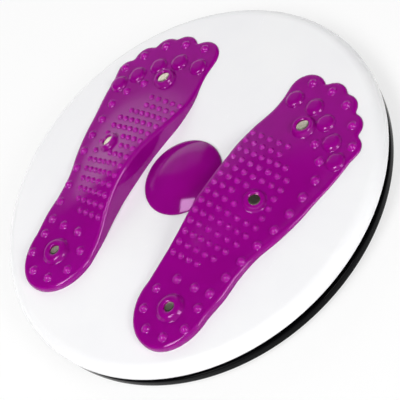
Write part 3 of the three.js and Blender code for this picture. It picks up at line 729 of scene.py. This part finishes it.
# Radius of the ring, reach of a rib inwards and outwards, its lowest and its highest level
RIB_SETS = {
    "tray": (87.5, (31.5, 31.5), (TRAY_FLOOR - 1, TRAY_FLOOR + 3)),
    "shell": (87.0, (31.0, 29.0), (under(SHOULDER_RADIUS) - 3.2, under(SHOULDER_RADIUS) + 0.4)),
}
BALLS = 10
RACE_RADIUS = 50.0
BALL_RADIUS = 3.0
BALL_HEIGHT = 12.4


def block(name, low, high, edge):
    """A box between two corners in mm, with bevelled edges."""
    mesh = bpy.data.meshes.new(name)
    work = bmesh.new()
    bmesh.ops.create_cube(work, size=1)
    for vert in work.verts:
        vert.co = [MM * (a if c < 0 else b) for c, a, b in zip(vert.co, low, high)]
    bmesh.ops.bevel(work, geom=work.edges[:], offset=edge * MM, segments=2, affect="EDGES")
    work.to_mesh(mesh)
    work.free()
    return mesh


def ribs(kind, finish):
    """A ring of ribs, each half way between two feet."""
    radius, (inwards, outwards), (bottom, top) = RIB_SETS[kind]
    rib = block(f"{kind}_rib", (-inwards, -RIB_HALF, bottom), (outwards, RIB_HALF, top), RIB_EDGE)
    return ring_of(f"{kind}_ribs", rib, RIBS, radius, finish, math.pi / RIBS)


foot_side = softened([
    (FOOT_SOLE, 0.0), (FOOT_RADIUS, FOOT_SLOPE, 0.8), (FOOT_RADIUS, FOOT_TOP, FILLET), (0, FOOT_TOP),
])
foot = turned("foot_stamp", [(0, 0), *foot_side], SMALL_STEPS, foot_rubber, closed=False)
foot_mesh = foot.data
bpy.data.objects.remove(foot)
feet = ring_of("tray_feet", foot_mesh, FEET, FEET_RADIUS, foot_rubber)
placed(feet, "base", "foot_rubber", *[f"rubber_foot_{i + 1}" for i in range(FEET)])

placed(ribs("tray", tray_black), "base", "tray_black")
placed(ribs("shell", shell_white), "turntable", "shell_white")

ball_mesh = bpy.data.meshes.new("ball")
work = bmesh.new()
bmesh.ops.create_uvsphere(work, u_segments=24, v_segments=14, radius=BALL_RADIUS * MM)
bmesh.ops.translate(work, verts=work.verts, vec=(0, 0, BALL_HEIGHT * MM))
work.to_mesh(ball_mesh)
work.free()
balls = ring_of("race_balls", ball_mesh, BALLS, RACE_RADIUS, ball_steel)
placed(balls, "ball_cage", "ball_steel", *[f"steel_ball_{i + 1:02d}" for i in range(BALLS)])

# %% [markdown]
# The two races are pressed from strip, with a groove for the balls. The groove is a shallow arc that
# stays 0.2 to 0.3 mm clear of the balls.

# %% Ball race
RACE_WIDTH = 9.0
RACE_THICKNESS = 1.8
RACE_CHAMFER = 0.25
RACE_GAP = 0.3
GROOVE = 0.6
GROOVE_SHARE = 0.8


def race(name, face, back, node):
    """A grooved ring: face and back are heights, and the groove sinks into the face."""
    inward = 1 if back > face else -1
    half_width = math.sqrt(BALL_RADIUS ** 2 - (BALL_RADIUS - GROOVE) ** 2)
    arc = []
    for offset in np.linspace(-half_width, half_width, 9):
        depth = math.sqrt(BALL_RADIUS ** 2 - offset ** 2) - (BALL_RADIUS - GROOVE)
        arc.append((RACE_RADIUS + offset, face + inward * depth * GROOVE_SHARE))
    low = RACE_RADIUS - RACE_WIDTH / 2
    high = RACE_RADIUS + RACE_WIDTH / 2
    cut = RACE_CHAMFER
    edge = cut * inward
    profile = [
        (low, face + edge), (low + cut, face), *arc, (high - cut, face), (high, face + edge),
        (high, back - edge), (high - cut, back), (low + cut, back), (low, back - edge),
    ]
    ring = turned(name, profile, MIDDLE_STEPS, race_steel)
    body = "base" if node == "lower_race" else "turntable"
    return placed(ring, body, "race_steel", node)


lower_face = BALL_HEIGHT - BALL_RADIUS - RACE_GAP + GROOVE
upper_face = BALL_HEIGHT + BALL_RADIUS + RACE_GAP - GROOVE
race("race_lower", lower_face, lower_face - RACE_THICKNESS, "lower_race")
race("race_upper", upper_face, upper_face + RACE_THICKNESS, "upper_race")

# %% [markdown]
# ## The plan of a foot pad
# The pad is drawn as a right foot. A long axis runs from the centre of the heel to the ball of the
# foot. The sole's two sides are a table of half widths along that axis, joined by a smooth curve,
# and the toes are five circles that overlap. Places along the pad are shares of its length.

# %% Foot plan
PAD_LENGTH = 188.0
HEEL = np.array((49.0, -0.372 * PAD_LENGTH))
BALL = np.array((HEEL[0] + 0.069 * PAD_LENGTH, 0.234 * PAD_LENGTH))
HEEL_REACH = 0.154 * PAD_LENGTH
INNER_WIDTHS = [0.137, 0.138, 0.133, 0.132, 0.139, 0.148, 0.164, 0.182, 0.189]
OUTER_WIDTHS = [0.124, 0.129, 0.125, 0.132, 0.154, 0.169, 0.175, 0.183, 0.184]
BIG_TOE_SIDE = [(-0.182, 0.036), (-0.169, 0.085), (-0.164, 0.128)]
TOES = [
    (-0.101, 0.173, 0.064), (-0.008, 0.181, 0.053), (0.051, 0.157, 0.051),
    (0.106, 0.104, 0.051), (0.146, 0.040, 0.048),
]


def spline(a, b, c, d, u):
    """The smooth curve from b to c, with a before them and d after, at u from 0 to 1."""
    return b + (c - a + (2 * a - 5 * b + 4 * c - d + (3 * (b - c) + d - a) * u) * u) * u / 2


def through(values, t):
    """The smooth curve through evenly spaced values, at t from 0 to 1."""
    spans = len(values) - 1
    place = min(max(t, 0.0), 1.0) * spans
    i = min(int(place), spans - 1)
    around = [values[min(max(k, 0), spans)] for k in (i - 1, i, i + 1, i + 2)]
    return spline(*around, place - i)


def sole(y):
    """The axis and the inner and outer sides of the sole at y."""
    t = min(max((y - HEEL[1]) / (BALL[1] - HEEL[1]), 0.0), 1.0)
    axis = HEEL[0] + (BALL[0] - HEEL[0]) * t
    inner_side = axis - PAD_LENGTH * through(INNER_WIDTHS, t)
    outer_side = axis + PAD_LENGTH * through(OUTER_WIDTHS, t)
    return axis, inner_side, outer_side


def from_ball(x, y):
    return BALL + PAD_LENGTH * np.array((x, y))


def notch(first, second):
    """The outer crossing of two toe circles."""
    between = second[0] - first[0]
    distance = np.linalg.norm(between)
    along = (distance ** 2 + first[1] ** 2 - second[1] ** 2) / (2 * distance)
    out = math.sqrt(first[1] ** 2 - along ** 2)
    unit = between / distance
    return first[0] + unit * along + np.array((-unit[1], unit[0])) * out


print("from heel to ball", round(BALL[1] - HEEL[1], 1), "of", PAD_LENGTH, "mm")

# %% Outline of the pad
STATIONS = 84
TOE_SPACING = 1.3
TOE_STEPS = 30
BEND_STEPS = 13
BEND_START = 7
BIG_TOE_ENTRY = (0.94, 0.34)
HEEL_STEPS = 56


def bearing(centre, point):
    return math.atan2(point[1] - centre[1], point[0] - centre[0])


def toe_line():
    """Even points from the inner side of the ball, round the toes, to its outer side."""
    toes = [(from_ball(x, y), radius * PAD_LENGTH) for x, y, radius in TOES]
    _, inner_side, outer_side = sole(BALL[1])
    bend = [(inner_side, BALL[1]), *[from_ball(*share) for share in BIG_TOE_SIDE]]
    line = [np.array(bend[0], float)]
    below = BALL[1] - BEND_START
    big_toe, reach = toes[0]
    back, up = BIG_TOE_ENTRY
    chain = [np.array((sole(below)[1], below)), *map(np.array, bend)]
    chain += [big_toe - (reach, 0), big_toe + (-reach * back, reach * up)]
    for k in range(1, len(chain) - 2):
        line += [spline(*chain[k - 1:k + 3], u) for u in np.linspace(0, 1, BEND_STEPS)[1:]]
    for k, (centre, radius) in enumerate(toes):
        last = k == len(toes) - 1
        start = math.pi if k == 0 else bearing(centre, notch(toes[k - 1], toes[k]))
        end = 0.0 if last else bearing(centre, notch(toes[k], toes[k + 1]))
        for angle in np.linspace(start, end, TOE_STEPS)[1:]:
            line.append(centre + radius * np.array((math.cos(angle), math.sin(angle))))
    line.append(np.array((outer_side, BALL[1])))
    line = np.array(line)
    run = np.concatenate(([0], np.cumsum(np.linalg.norm(np.diff(line, axis=0), axis=1))))
    even = np.linspace(0, run[-1], int(run[-1] / TOE_SPACING))
    line = np.stack([np.interp(even, run, line[:, i]) for i in (0, 1)], axis=1)
    for _ in range(2):
        line[1:-1] = (line[:-2] + 2 * line[1:-1] + line[2:]) / 4
    return line


def pad_outline():
    """The outline, up the inner side and down the outer, and the axis point that each faces."""
    edges, axes = [], []
    levels = np.linspace(HEEL[1], BALL[1], STATIONS + 1)
    for y in levels:
        axis, inner_side, _ = sole(y)
        edges.append((inner_side, y))
        axes.append((axis, y))
    for point in toe_line()[1:-1]:
        edges.append(tuple(point))
        axes.append(tuple(BALL))
    for y in reversed(levels):
        axis, _, outer_side = sole(y)
        edges.append((outer_side, y))
        axes.append((axis, y))
    _, inner_side, outer_side = sole(HEEL[1])
    for i in range(1, HEEL_STEPS):
        angle = i * math.pi / HEEL_STEPS
        reach = outer_side - HEEL[0] if math.cos(angle) > 0 else HEEL[0] - inner_side
        edges.append((HEEL[0] + reach * math.cos(angle), HEEL[1] - HEEL_REACH * math.sin(angle)))
        axes.append(tuple(HEEL))
    return np.array(edges), np.array(axes)


print(len(pad_outline()[0]), "points round a pad")

# %% [markdown]
# ## The pad's surface
# The sole is low at the toes and about 3 mm higher at the heel. Along the inner side it rises into
# the arch by some 13 mm, and the rise fades out towards the outer side, so the wearer's arch is
# filled. Four smooth steps describe it all: one levels the sole, two start and end the arch along the
# foot, and one fades it across.

# %% Surface of the pad
HEEL_SURFACE = 25.8
TOE_SURFACE = 23.0
CREST_RISE = 12.9
ARCH = {"ball_end": 0.125, "front": -0.267, "back": -0.285, "heel_end": -0.6}
ARCH_OUTER = 0.06
LEVEL_BLEND = (-0.021, -0.527)
PAD_SEAT = 0.05


def smooth_step(t):
    t = min(max(t, 0.0), 1.0)
    return t * t * (3 - 2 * t)


def pad_top(x, y):
    along = (y - BALL[1]) / PAD_LENGTH
    front, back = LEVEL_BLEND
    level = TOE_SURFACE + (HEEL_SURFACE - TOE_SURFACE) * smooth_step((along - front) / (back - front))
    rising = smooth_step((ARCH["ball_end"] - along) / (ARCH["ball_end"] - ARCH["front"]))
    falling = smooth_step((along - ARCH["heel_end"]) / (ARCH["back"] - ARCH["heel_end"]))
    _, inner_side, outer_side = sole(y)
    across = (outer_side - x) / (outer_side - inner_side)
    inwards = smooth_step((across - ARCH_OUTER) / (1 - ARCH_OUTER))
    return level + CREST_RISE * rising * falling * inwards


print("surface at heel and ball:", round(pad_top(*HEEL), 2), round(pad_top(*BALL), 2), "mm")

# %% Body of the pad
EDGE_WIDTH = 2.4
EDGE_SHARE = 0.85
EDGE_STEPS = 8
FACE_STEPS = 26


def pad_body(name, side, node):
    edges, axes = pad_outline()
    ahead = np.roll(edges, -1, axis=0) - np.roll(edges, 1, axis=0)
    ahead /= np.linalg.norm(ahead, axis=1)[:, None]
    inward = np.stack((ahead[:, 1], -ahead[:, 0]), axis=1)
    columns = []
    for edge, axis, into in zip(edges, axes, inward):
        base = shell_height(math.hypot(*edge)) + PAD_SEAT
        wall_height = pad_top(*edge) - base
        drop = min(EDGE_WIDTH, wall_height * EDGE_SHARE)
        column = [(*axis, shell_height(math.hypot(*axis)) + PAD_SEAT), (*edge, base)]
        for turn in np.linspace(0, math.pi / 2, EDGE_STEPS + 1):
            place = edge + into * EDGE_WIDTH * (1 - math.cos(turn))
            column.append((*place, pad_top(*place) - drop * (1 - math.sin(turn))))
        brow = edge + into * EDGE_WIDTH
        for t in np.linspace(0, 1, FACE_STEPS + 1)[1:]:
            place = brow + (axis - brow) * t
            column.append((*place, pad_top(*place)))
        columns.append(column)
    rows = len(columns[0])
    count = len(columns)
    faces = []
    for i in range(count):
        for row in range(rows - 1):
            here, beside = i * rows + row, (i + 1) % count * rows + row
            faces.append((here, here + 1, beside + 1, beside))
    places = [(side * x * MM, y * MM, z * MM) for column in columns for x, y, z in column]
    mesh = bpy.data.meshes.new(name)
    mesh.from_pydata(places, [], faces)
    mesh.materials.append(pad_magenta)
    tidied(mesh)
    piece = bpy.data.objects.new(name, mesh)
    scene.collection.objects.link(piece)
    print(name, count, "columns of", rows)
    return placed(piece, "turntable", "pad_magenta", node)


pad_right = pad_body("pad_right", 1, "foot_pad_right")
pad_left = pad_body("pad_left", -1, "foot_pad_left")

# %% [markdown]
# ## What stands on the pads
# A fine grid of small nubs fills the arch, larger nubs follow the outer edge, ring the heel and mark
# the toes, and five broad domes lie behind the toes. Three magnets sit in raised bosses. Their
# places are plan points. A Geometry Nodes tree drops each point on the pads with a ray, and stands
# the piece there along the surface, so all of them follow the arch.

# %% The tree that stands pieces on the pads
RAY_START = 60 * MM
tree, given = geometry_tree("stood_on_the_pads", {
    "Right pad": "NodeSocketObject", "Left pad": "NodeSocketObject", "Piece": "NodeSocketObject",
    "Ray start": "NodeSocketFloat", "Finish": "NodeSocketMaterial",
})
pads = tree.add("GeometryNodeJoinGeometry")
for label in ("Right pad", "Left pad"):
    target = tree.add("GeometryNodeObjectInfo", {"Object": given[label]}, output="Geometry")
    tree.made.links.new(target.socket, pads.socket.node.inputs["Geometry"])
lift = tree.add("ShaderNodeCombineXYZ", {"Z": given["Ray start"]})
place = tree.add("GeometryNodeInputPosition")
above = tree.add("ShaderNodeVectorMath", {0: place, 1: lift}, operation="ADD")
cast = tree.add("GeometryNodeRaycast", {
    "Target Geometry": pads, "Source Position": above, "Ray Direction": (0, 0, -1),
    "Ray Length": 2 * RAY_START,
}, output="Hit Position")
landed = tree.add("GeometryNodeSetPosition", {"Geometry": given["Geometry"], "Position": cast})
lean = tree.add("GeometryNodeInputNamedAttribute", {"Name": "lean"}, data_type="FLOAT_VECTOR")
leaning = tree.add("ShaderNodeVectorMath", {0: cast.of("Hit Normal"), 1: lean}, operation="ADD")
upright = tree.add("FunctionNodeAlignRotationToVector", {"Vector": leaning}, axis="Z")
stamp = tree.add("GeometryNodeObjectInfo", {"Object": given["Piece"]}, output="Geometry")
stood = tree.add("GeometryNodeInstanceOnPoints", {"Points": landed, "Instance": stamp, "Rotation": upright})
STOOD_ON_PADS = close_tree(tree, stood, given["Finish"])


def stood_on_pads(name, places, profile, steps, finish, leans=()):
    """Copies of a turned piece on both pads, at plan places in mm of the right pad."""
    stamp = turned(name + "_stamp", profile, steps, finish, closed=profile[0][0] > 0)
    points = bpy.data.meshes.new(name + "_places")
    points.from_pydata([(side * x * MM, y * MM, 0) for side in (1, -1) for x, y in places], [], [])
    lean = points.attributes.new("lean", "FLOAT_VECTOR", "POINT")
    for point, tilt in zip(lean.data, leans):
        point.vector = (*tilt, 0)
    values = {
        "Right pad": pad_right, "Left pad": pad_left, "Piece": stamp,
        "Ray start": RAY_START, "Finish": finish,
    }
    piece = applied(name, points, STOOD_ON_PADS, values)
    bpy.data.objects.remove(stamp)
    print(name, 2 * len(places), "copies")
    return piece


# %% Places of the nubs, domes and magnets
FINE_ROWS = [
    (5, 0.057, 0.431), (5, 0.062, 0.419), (7, 0.070, 0.549), (7, 0.075, 0.637), (7, 0.078, 0.652),
    (7, 0.077, 0.658), (7, 0.080, 0.680), (7, 0.080, 0.697), (7, 0.086, 0.723), (7, 0.087, 0.712),
    (6, 0.100, 0.709), (6, 0.110, 0.670), (5, 0.110, 0.610), (4, 0.110, 0.470),
]
FIRST_ROW = -0.024
ROW_PITCH = 0.0346
EDGE_NUBS = [0.147, 0.130, 0.118, 0.109, 0.100, 0.090, 0.106, 0.155]
FIRST_EDGE_NUB = -0.091
EDGE_PITCH = 0.0635
TOE_NUBS = [(-0.095, 0.204), (-0.012, 0.197), (0.062, 0.169), (0.123, 0.112), (0.165, 0.048)]
FOREFOOT_NUBS = [(0.045, 0.017), (0.094, -0.030)]
TOE_DOMES = [(-0.118, 0.134), (-0.035, 0.129), (0.035, 0.092), (0.095, 0.038), (0.144, -0.015)]
MAGNETS = {"ball": (-0.026, 0.054), "arch": (-0.007, -0.229), "heel": (-0.068, -0.626)}
HEEL_RING = 17.6
HEEL_RING_NUBS = 8
NUB_FREE = 9.0

magnet_places = {name: from_ball(*share) for name, share in MAGNETS.items()}
fine_places = []
for row, (count, first_share, last_share) in enumerate(FINE_ROWS):
    y = BALL[1] + PAD_LENGTH * (FIRST_ROW - row * ROW_PITCH)
    _, inner_side, outer_side = sole(y)
    for share in np.linspace(first_share, last_share, count):
        place = np.array((inner_side + (outer_side - inner_side) * share, y))
        if np.linalg.norm(place - magnet_places["arch"]) > NUB_FREE:
            fine_places.append(place)
round_places = [from_ball(*share) for share in (*TOE_NUBS, *FOREFOOT_NUBS)]
for i, share in enumerate(EDGE_NUBS):
    y = BALL[1] + PAD_LENGTH * (FIRST_EDGE_NUB - i * EDGE_PITCH)
    _, inner_side, outer_side = sole(y)
    round_places.append(np.array((outer_side - share * (outer_side - inner_side), y)))
for i in range(HEEL_RING_NUBS):
    angle = (i + 0.5) * 2 * math.pi / HEEL_RING_NUBS
    round_places.append(magnet_places["heel"] + HEEL_RING * np.array((math.cos(angle), math.sin(angle))))
dome_places = [from_ball(*share) for share in TOE_DOMES]
print(len(fine_places), "fine nubs,", len(round_places), "round nubs on each pad")

# %% Nubs and domes
FINE_NUB = [
    (0, 1.8), (0.7, 1.68), (1.2, 1.3), (1.55, 0.75), (1.8, 0.25), (2.2, -0.05), (2.2, -0.5), (0, -0.5),
]
ROUND_NUB = [
    (0, 2.1), (0.8, 2.0), (1.5, 1.68), (2.0, 1.2), (2.35, 0.65), (2.65, 0.22), (3.1, 0.0),
    (3.3, -0.1), (3.3, -0.5), (0, -0.5),
]
FINE_NUB_STEPS = 12
ROUND_NUB_STEPS = 20
DOME_STEPS = 40
DOME_RADIUS = 5.6
DOME_HEIGHT = 2.2
DOME_CUT = 0.5
DOME_SKIRT = [(0.12, 0.27), (0.45, 0.07), (0.9, -0.03), (1.1, -0.12), (1.1, -0.6)]
dome_profile = [
    (radius, DOME_HEIGHT * (1 - (radius / DOME_RADIUS) ** 4) ** 0.5)
    for radius in np.sin(np.linspace(0, math.pi / 2, 13)) * DOME_RADIUS
]
dome_profile = [(radius, height) for radius, height in dome_profile if height > DOME_CUT]
dome_profile += [(DOME_RADIUS + offset, height) for offset, height in DOME_SKIRT] + [(0, -0.6)]
nub_kinds = {
    "pad_fine_nubs": (fine_places, FINE_NUB, FINE_NUB_STEPS, nub_magenta_painted_light),
    "pad_round_nubs": (round_places, ROUND_NUB, ROUND_NUB_STEPS, nub_magenta_painted_light),
    "pad_toe_domes": (dome_places, dome_profile, DOME_STEPS, pad_magenta),
}
for name, (places, profile, steps, finish) in nub_kinds.items():
    nubs = stood_on_pads(name, places, profile, steps, finish)
    placed(nubs, "turntable", "pad_magenta")

# %% [markdown]
# ## Magnets in their bosses
# A boss is a raised ring with a rounded crown, and the magnet is a plated disc that sits a little
# below it. The boss at the heel is wider. All of them are turned pieces stood on the pads. The faces
# at the ball and the heel lean by a few degrees, because pressed-in magnets never sit quite true, so
# that each mirrors another part of the studio, as in the photograph.

# %% Bosses and magnets
# Outer radius and top of the boss, radius of its lip, height of the magnet's face, lean of each magnet
BOSSES = {
    "ball": (7.3, 3.1, 3.85, 2.6, [(-0.11, 0.06), (-0.11, 0.06)]),
    "arch": (6.7, 2.7, 3.45, 1.85, []),
    "heel": (8.6, 2.7, 3.2, 1.85, [(-0.02, 0.014), (-0.05, 0.035)]),
}
LIP = 0.25
SLACK = 0.02
BOSS_STEPS = 56


def boss_profile(radius, top, lip_radius, face):
    slope = radius - lip_radius
    crown = lip_radius + slope * 0.45
    fall = radius - crown
    socket = lip_radius + LIP + SLACK
    return [
        (socket, -0.6), (socket, face + SLACK), (lip_radius, face + SLACK),
        (lip_radius + 0.12, top - 0.4), (lip_radius + 0.45, top - 0.12), (lip_radius + 0.9, top),
        (crown, top), (crown + fall * 0.3, top * 0.94), (crown + fall * 0.58, top * 0.72),
        (crown + fall * 0.8, top * 0.4), (radius, top * 0.14), (radius + 0.5, 0.0),
        (radius + 0.8, -0.12), (radius + 0.8, -0.6),
    ]


def magnet_profile(radius, face):
    return [
        (0, face), (radius * 0.6, face), (radius - 0.35, face - 0.02), (radius - 0.1, face - 0.12),
        (radius, face - 0.35), (radius, 0.1), (0, 0.1),
    ]


for place, (radius, top, lip_radius, face, leans) in BOSSES.items():
    centre = [magnet_places[place]]
    ring = boss_profile(radius, top, lip_radius, face)
    boss = stood_on_pads(f"{place}_bosses", centre, ring, BOSS_STEPS, pad_magenta)
    placed(boss, "turntable", "pad_magenta")
    disc = magnet_profile(lip_radius + LIP, face)
    magnets = stood_on_pads(f"{place}_magnets", centre, disc, SMALL_STEPS, magnet_nickel, leans)
    placed(magnets, "turntable", "magnet_nickel", f"magnet_{place}_right", f"magnet_{place}_left")

# %% [markdown]
# ## The rest of the frame
# The cage, the bolt, its nut and the washers keep their CAD shape, which is the real one, and only
# change their finish.

# %% Finishes of the carried-over nodes
kept_finishes = {
    "cage_ring": cage_acetal, "pivot_bolt": bolt_zinc, "pivot_nut": bolt_zinc,
    "nut_washer": bolt_zinc, "thrust_washer": washer_nylon,
}
for node, finish in kept_finishes.items():
    for material_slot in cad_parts[node].material_slots:
        material_slot.material = finish
print("kept as in CAD:", ", ".join(kept_finishes))
